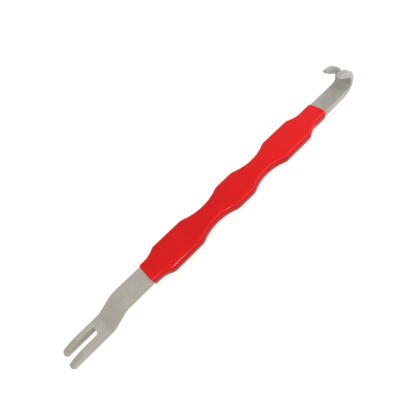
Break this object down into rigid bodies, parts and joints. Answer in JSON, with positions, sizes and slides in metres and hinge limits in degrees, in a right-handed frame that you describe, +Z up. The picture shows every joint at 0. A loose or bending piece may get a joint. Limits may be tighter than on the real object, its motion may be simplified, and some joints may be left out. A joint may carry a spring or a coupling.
{
  "type": "pry bar",
  "caption": "Flat steel pry bar for prising connectors, clips and small trim: a stepped forked tip, a slotted hook and a lobed glossy red vinyl grip.",
  "frame": {"origin": "centre of the bounding box in plan, at the bench plane that the tool rests on", "axes": "+X from the forked tip to the hook, +Y across the bar, +Z up with the hook's tips pointing up"},
  "size_m": [0.2388, 0.0206, 0.024],
  "materials": {
    "steel": "satin, blasted plate with fine grinding marks on the bent and forged ends",
    "red_vinyl": "glossy dip-moulded vinyl"
  },
  "bodies": {
    "root": {"steel_bar": "steel", "vinyl_grip": "red_vinyl"}
  },
  "joints": []
}
